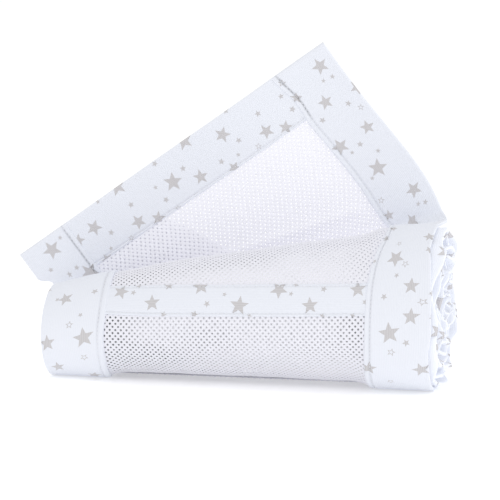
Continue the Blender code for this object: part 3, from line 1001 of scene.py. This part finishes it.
def side_band(side):
    """A side band from the flap's free end, over the roll and down to under it."""
    word = WORDS[side]
    middle = side * (HALF_WIDTH - SIDE_BAND_WIDTH / 2)
    length = float(under_w(middle)) * 1000

    def place(along, across, lift):
        w = along / 1000
        edge_out = side * (HALF_WIDTH - band_across(side, across, w) + edge_shift(side, across, w))
        return loose(edge_out, w, lift + SIDE_BAND_LIFT)

    def shade(along):
        places, shares = np.array(STITCH_SHADE_CHART[side]).T
        return np.interp(along, places, shares)

    past_fold, cross = flap_length(middle) * 1000 + PAST_FOLD_MM, CROSS_AT * 1000
    stars = charted(word + "_flap") + repeating(past_fold, cross - ABOVE_CROSS_MM)
    stars += charted(word + "_roll", cross)
    name, hems = f"side_band_{word}_cloth", (SIDE_HEM_MM,)
    piece = cotton_band(name, length, SIDE_MM, place, hems, stars, shade=shade)
    stitch_row(length, SIDE_HEM_MM, place)
    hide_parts(f"side_band_{word}")


INNER_LIFT_SHARE, INNER_SINK = 0.85, 0.0002


def inner_band(word, width, start, hems):
    """The end or cross band, between the side bands and just under their edges, from w = start(u) on."""
    first = (HALF_WIDTH - MESH_EDGE - SEAM_LAP) * 1000
    length = (HALF_WIDTH + MESH_EDGE + SEAM_LAP) * 1000 - first

    def place(along, across, lift):
        u = (along + first) / 1000 - HALF_WIDTH
        return loose(u, start(u) + across / 1000, lift * INNER_LIFT_SHARE - INNER_SINK)

    piece = cotton_band(f"{word}_band_cloth", length, width * 1000, place, hems, charted(word, -first))
    for hem in hems:
        stitch_row(length, hem, place)
    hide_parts(f"{word}_band")


SLACK_ABOVE = (0.062, 0.026)  # how far above the fold the flap's net begins to be slack, and is wholly so
SLACK_ACROSS = (0.010, -0.050)
TOP_REACH = -0.030


def net_windows():
    """The net of the flap and the roll's top, and that below the cross band."""

    def place(u, w, lift):
        return loose(u, w, lift + NET_LIFT)

    def in_flap(u, w):
        along = (w > END_BAND_WIDTH - SEAM_LAP) & (w < cross_top(u) + SEAM_LAP)
        return in_window(u, w, SEAM_LAP) & along

    def raised(u, w):
        return w < flap_length(u)

    def flap_hole(u, w):
        above_fold = flap_length(u) - w
        slack = smooth(*SLACK_ABOVE, above_fold) * smooth(*SLACK_ACROSS, u)
        return mix(*FLAP_HOLE_RADII, np.maximum(slack, smooth(0.0, TOP_REACH, above_fold)))

    def in_lower(u, w):
        below = w > cross_top(u) + CROSS_WIDTH - SEAM_LAP
        return in_window(u, w, SEAM_LAP) & below & (looked_up(STAGES, u, w) < UNDER - 1e-3)

    reach = (HALF_WIDTH, LOOSE_LENGTH)
    cloths = (NET, FLAP_NET)
    flap = net_piece("flap_net", in_flap, reach, place, FLAP_SKEW, flap_hole, cloths, raised)
    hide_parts("mesh_window_flap")
    lower = net_piece("lower_net", in_lower, reach, place)
    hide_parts("mesh_window_lower")


SLACK_HEIGHT = 0.027  # at its left end, which rises to the right
SLACK_RISE = 0.40
SLACK_LENGTH = 0.110
SLACK_FROM, SLACK_FULL, SLACK_TO = -0.087, -0.040, 0.004
SLACK_BEHIND = (0.0026, 0.0044)
SLACK_TURN = 0.0009
SLACK_FOOT = 0.004


def slack_net():
    """The pleat of slack behind the flap's foot: net that goes up behind the flap and down again."""

    def height(u):
        return (SLACK_HEIGHT + SLACK_RISE * (u - SLACK_FROM)) * smooth(SLACK_TO, SLACK_FULL, u)

    def place(u, run, lift):
        past = run - height(u)
        up = SLACK_FOOT + height(u) - np.sqrt(past**2 + SLACK_TURN**2) + SLACK_TURN
        behind = mix(*SLACK_BEHIND, smooth(-2 * SLACK_TURN, 2 * SLACK_TURN, past))
        return loose(u, flap_length(u) - FOLD_LEG - up, lift - behind)

    def inside(u, run):
        return (u > SLACK_FROM) & (u < SLACK_TO) & (run > 0.0) & (run < 2 * height(u) - 0.001)

    def outer(u, run):
        return run > height(u)

    reach = (HALF_WIDTH, SLACK_LENGTH)
    cloths = (SLACK_NET, FLAP_NET)
    piece = net_piece("slack_net", inside, reach, place, hole=SLACK_HOLE_RADIUS, cloths=cloths, kind=outer)


BACK_TURNS = 0.52
MEAN_TURN = 0.262  # metres of cloth in one turn at the roll's middle


def back_net():
    """The net's next length, from under the roll up its back until the loose end covers it."""
    length = BACK_TURNS * MEAN_TURN

    def place(u, w, lift):
        return wound(u, w / MEAN_TURN, lift + NET_LIFT)

    def inside(u, w):
        return (np.abs(u) < MESH_EDGE + SEAM_LAP) & (w > -0.001) & (w < length)

    piece = net_piece("back_net", inside, (HALF_WIDTH, length), place)


TURN_AT = 0.85  # the share of the half width where a turn is measured


def wound_band(side):
    """A side band's wound length, from under the roll to its middle, uneven and ruffled at its end."""
    turn_length = 2000 * math.pi * float(section(side * HALF_WIDTH * TURN_AT, 0.0)[1])
    turns_grid = np.linspace(0, TURNS, 900)
    share = 1 - wound_in(turns_grid)
    run = np.concatenate([[0], np.cumsum((share[1:] + share[:-1]) / 2 * np.diff(turns_grid))]) * turn_length
    length = run[-1]

    def place(along, across, lift):
        turns = np.interp(along, run, turns_grid)
        ragged = np.sin(2 * math.pi * 5 * turns + 1.7 * side) + np.sin(2.3 * turns + side)
        ragged = ragged + 0.8 * np.sin(2 * math.pi * 8.3 * turns + 0.5)
        proud = (END_PROUD[side] + END_RUFFLE[side] * ragged) * smooth(0.0, 0.5, turns)
        u = side * mix(HALF_WIDTH + proud, MESH_EDGE, across / SIDE_MM)
        return wound(u, turns, lift + SIDE_BAND_LIFT)

    stars = repeating(-8, length + 8)
    name, hems = f"wound_band_{WORDS[side]}", (SIDE_HEM_MM,)
    piece = cotton_band(name, length, SIDE_MM, place, hems, stars, WOUND_SPACING_MM, cloths=BUNCHED)


DRUM_INSET = 0.0046
DRUM_BACK_INSET = 0.0078  # below the net's next length
DRUM_WAVE = 0.0006
DRUM_COLUMNS = 90
DRUM_ANGLES = 220

# Painted shade where the layers below the net stand apart: mm across from the roll's middle and up, how far
# it spreads each way, and how dark.
GAPE_SHADES = (
    (-82, 38, 15, 36, 0.75), (-60, 17, 34, 10, 0.75), (-14, 32, 20, 9, 0.26), (8, 14, 40, 8, 0.22),
    (50, 26, 28, 20, 0.10), (84, 40, 14, 34, 0.40), (-74, 60, 20, 8, 0.60), (6, 80, 20, 4, 0.65),
    (50, 86, 10, 4, 0.35), (82, 86, 12, 10, 0.45),
)
# Painted shade lower down on the roll, and along the left half of its top edge where the flap goes behind.
LOW_SHADE = 0.34
HORIZON_SHADE, HORIZON_REACH = 0.85, 0.005


def gape_shade(points):
    """How much painted shade the layers below the net take at those points."""
    u, up = points[:, 0] - ROLL_MIDDLE[0], points[:, 2]
    from_top = (roll_height(u) - DRUM_INSET - up) / HORIZON_REACH
    dark = LOW_SHADE * smooth(0.072, 0.055, up)
    dark += HORIZON_SHADE * np.exp(-(from_top**2)) * smooth(0.02, -0.02, u)
    for across, height, wide, tall, share in GAPE_SHADES:
        near = (u * 1000 - across) / wide
        dark += share * np.exp(-(near**2) - ((up * 1000 - height) / tall) ** 2)
    return dark


def drum():
    """The wound net below the outer layers, seen through their holes. It closes the roll at both ends."""
    reach = MESH_EDGE + 0.006
    columns = np.linspace(-reach, reach, DRUM_COLUMNS)
    angles = np.linspace(0, 2 * math.pi, DRUM_ANGLES, endpoint=False)
    u, angle = np.meshgrid(columns, angles, indexing="ij")
    mean = section(u, 0.0)[1]
    turned = (angle + math.pi) % (2 * math.pi) - math.pi
    below_cross = (cross_angle(u) - turned) * mean
    sink = DRUM_WAVE * (np.sin(40 * u + 3 * angle) + np.sin(63 * u - 5 * angle + 1.0))
    sink += sunk(u, CROSS_AT + below_cross) * smooth(-2.3, -1.6, turned)
    in_front = smooth(-1.75, -1.45, turned) * smooth(1.40, 1.10, turned)
    points = roll_point(u, angle, mix(DRUM_BACK_INSET, DRUM_INSET, in_front) + sink) + ROLL_MIDDLE
    points = points.reshape(-1, 3)
    uv = np.stack([u, angle * mean], -1).reshape(-1, 2)
    here = np.arange(len(points)).reshape(u.shape)
    ahead = np.roll(here, -1, axis=1)
    a, b, c, d = (corner.ravel() for corner in (here[:-1], ahead[:-1], ahead[1:], here[1:]))
    faces = [np.stack([c, b, a], 1), np.stack([d, c, a], 1)]
    for i, (a, b) in enumerate(((here[0], ahead[0]), (ahead[-1], here[-1]))):
        faces.append(np.stack([np.full(DRUM_ANGLES, len(points) + i), a, b], 1))
    points = np.concatenate([points, [points[ring].mean(axis=0) for ring in (here[0], here[-1])]])
    uv = np.concatenate([uv, np.zeros((2, 2))])
    faces = np.concatenate(faces)
    # The layers below take their painted shade from the mesh.
    piece = add_mesh("roll_drum", [BELOW], points, faces, uv, painted_shade=gape_shade(points))
    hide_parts("roll_core")


# ---------------- stage, light and camera

CAMERA_AZIMUTH = math.radians(11.75)
CAMERA_ELEVATION = math.radians(8.2)
CAMERA_DISTANCE = 1.724
CAMERA_TARGET = Vector((0.01864, 0.0013, 0.08408))
FOCAL_LENGTH_MM = 195.4


def add_facing(name, data, place, way):
    """A camera or light at a place, turned that way."""
    added = add_object(name, data)
    added.location = place
    added.rotation_mode = "QUATERNION"
    added.rotation_quaternion = way.to_track_quat("-Z", "Y")
    return added


def add_camera():
    """The photo's camera: a long lens from a little to the right and above."""
    data = bpy.data.cameras.new("camera")
    data.lens = FOCAL_LENGTH_MM
    data.sensor_width = 36.0
    data.clip_end = 20.0
    a, e = CAMERA_AZIMUTH, CAMERA_ELEVATION
    back = Vector((math.sin(a) * math.cos(e), -math.cos(a) * math.cos(e), math.sin(e)))
    bpy.context.scene.camera = add_facing("camera", data, CAMERA_TARGET + back * CAMERA_DISTANCE, -back)


LIT = Vector((0, 0, 0.08))


def add_area_light(name, place, size, power):
    """A square light that faces the roll."""
    data = bpy.data.lights.new(name, "AREA")
    data.energy = power
    data.size = size
    add_facing(name, data, place, LIT - Vector(place))


FLOOR_HALF = 6.0
FLOOR_GLOW = 0.20
FLOOR_WHITE = (0.98, 0.98, 0.98, 1.0)
WHITE = (1.0, 1.0, 1.0, 1.0)
WORLD_STRENGTH = 0.85
LIGHTS = (  # each one's name, place, size in metres and power in watts
    ("front", (-0.3, -2.4, 0.60), 1.6, 0.6),
    ("side", (2.2, -0.1, 0.5), 1.2, 8.0),
    ("top", (-0.3, -1.3, 1.9), 1.6, 5.0),
)


def add_stage():
    """A plain pale floor, a white world and soft lights."""
    half = FLOOR_HALF
    corners = [(-half, -half, 0), (half, -half, 0), (half, half, 0), (-half, half, 0)]
    mesh = bpy.data.meshes.new("floor")
    mesh.from_pydata(corners, [], [(0, 1, 2, 3)])
    floor = add_object("floor", mesh)
    nodes = Nodes("floor")
    nodes.fill(nodes.shader, {
        "Base Color": FLOOR_WHITE, "Roughness": 0.9, "Specular IOR Level": 0.0,
        "Emission Color": WHITE, "Emission Strength": FLOOR_GLOW,
    })
    mesh.materials.append(nodes.material)
    world = bpy.data.worlds.new("studio")
    world.use_nodes = True
    background = world.node_tree.nodes["Background"]
    background.inputs[0].default_value = WHITE
    background.inputs[1].default_value = WORLD_STRENGTH
    bpy.context.scene.world = world
    bpy.context.scene.view_settings.view_transform = "Standard"
    for light in LIGHTS:
        add_area_light(*light)


drum()
for band_side in (-1, 1):
    side_band(band_side)
    wound_band(band_side)
inner_band("end", END_BAND_WIDTH, np.zeros_like, END_HEMS_MM)
inner_band("cross", CROSS_WIDTH, cross_top, CROSS_HEMS_MM)
net_windows()
slack_net()
back_net()
stitching()
add_camera()
add_stage()
